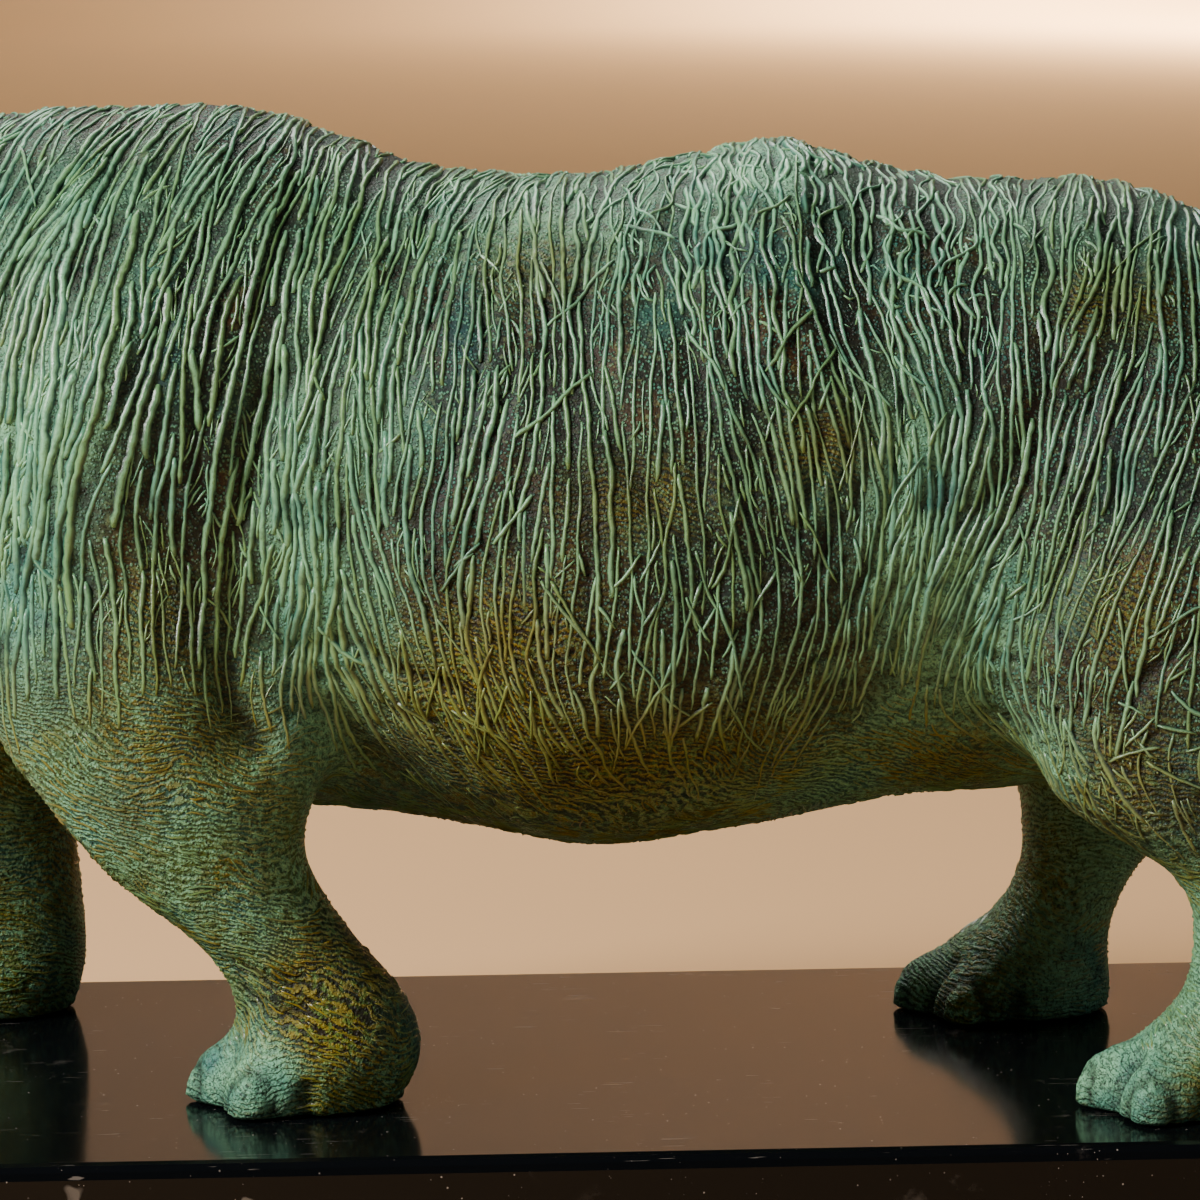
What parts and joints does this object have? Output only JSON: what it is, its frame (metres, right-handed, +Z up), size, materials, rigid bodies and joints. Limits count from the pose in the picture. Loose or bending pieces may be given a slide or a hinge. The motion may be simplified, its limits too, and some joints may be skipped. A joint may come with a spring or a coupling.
{
  "type": "rhinoceros sculpture",
  "caption": "Patinated bronze sculpture of a walking rhinoceros with its head lowered, on a thin rectangular plinth of polished black marble.",
  "frame": {"origin": "centre of the plinth's underside", "axes": "+X along the plinth from the animal's head towards its tail, -Z out of the plinth's underside, +Z up"},
  "size_m": [0.4432, 0.159, 0.2174],
  "materials": {
    "bronze": "cast bronze under a green and brown verdigris patina",
    "marble": null
  },
  "bodies": {
    "root": {"rhinoceros": "bronze", "plinth": "marble"}
  },
  "joints": []
}
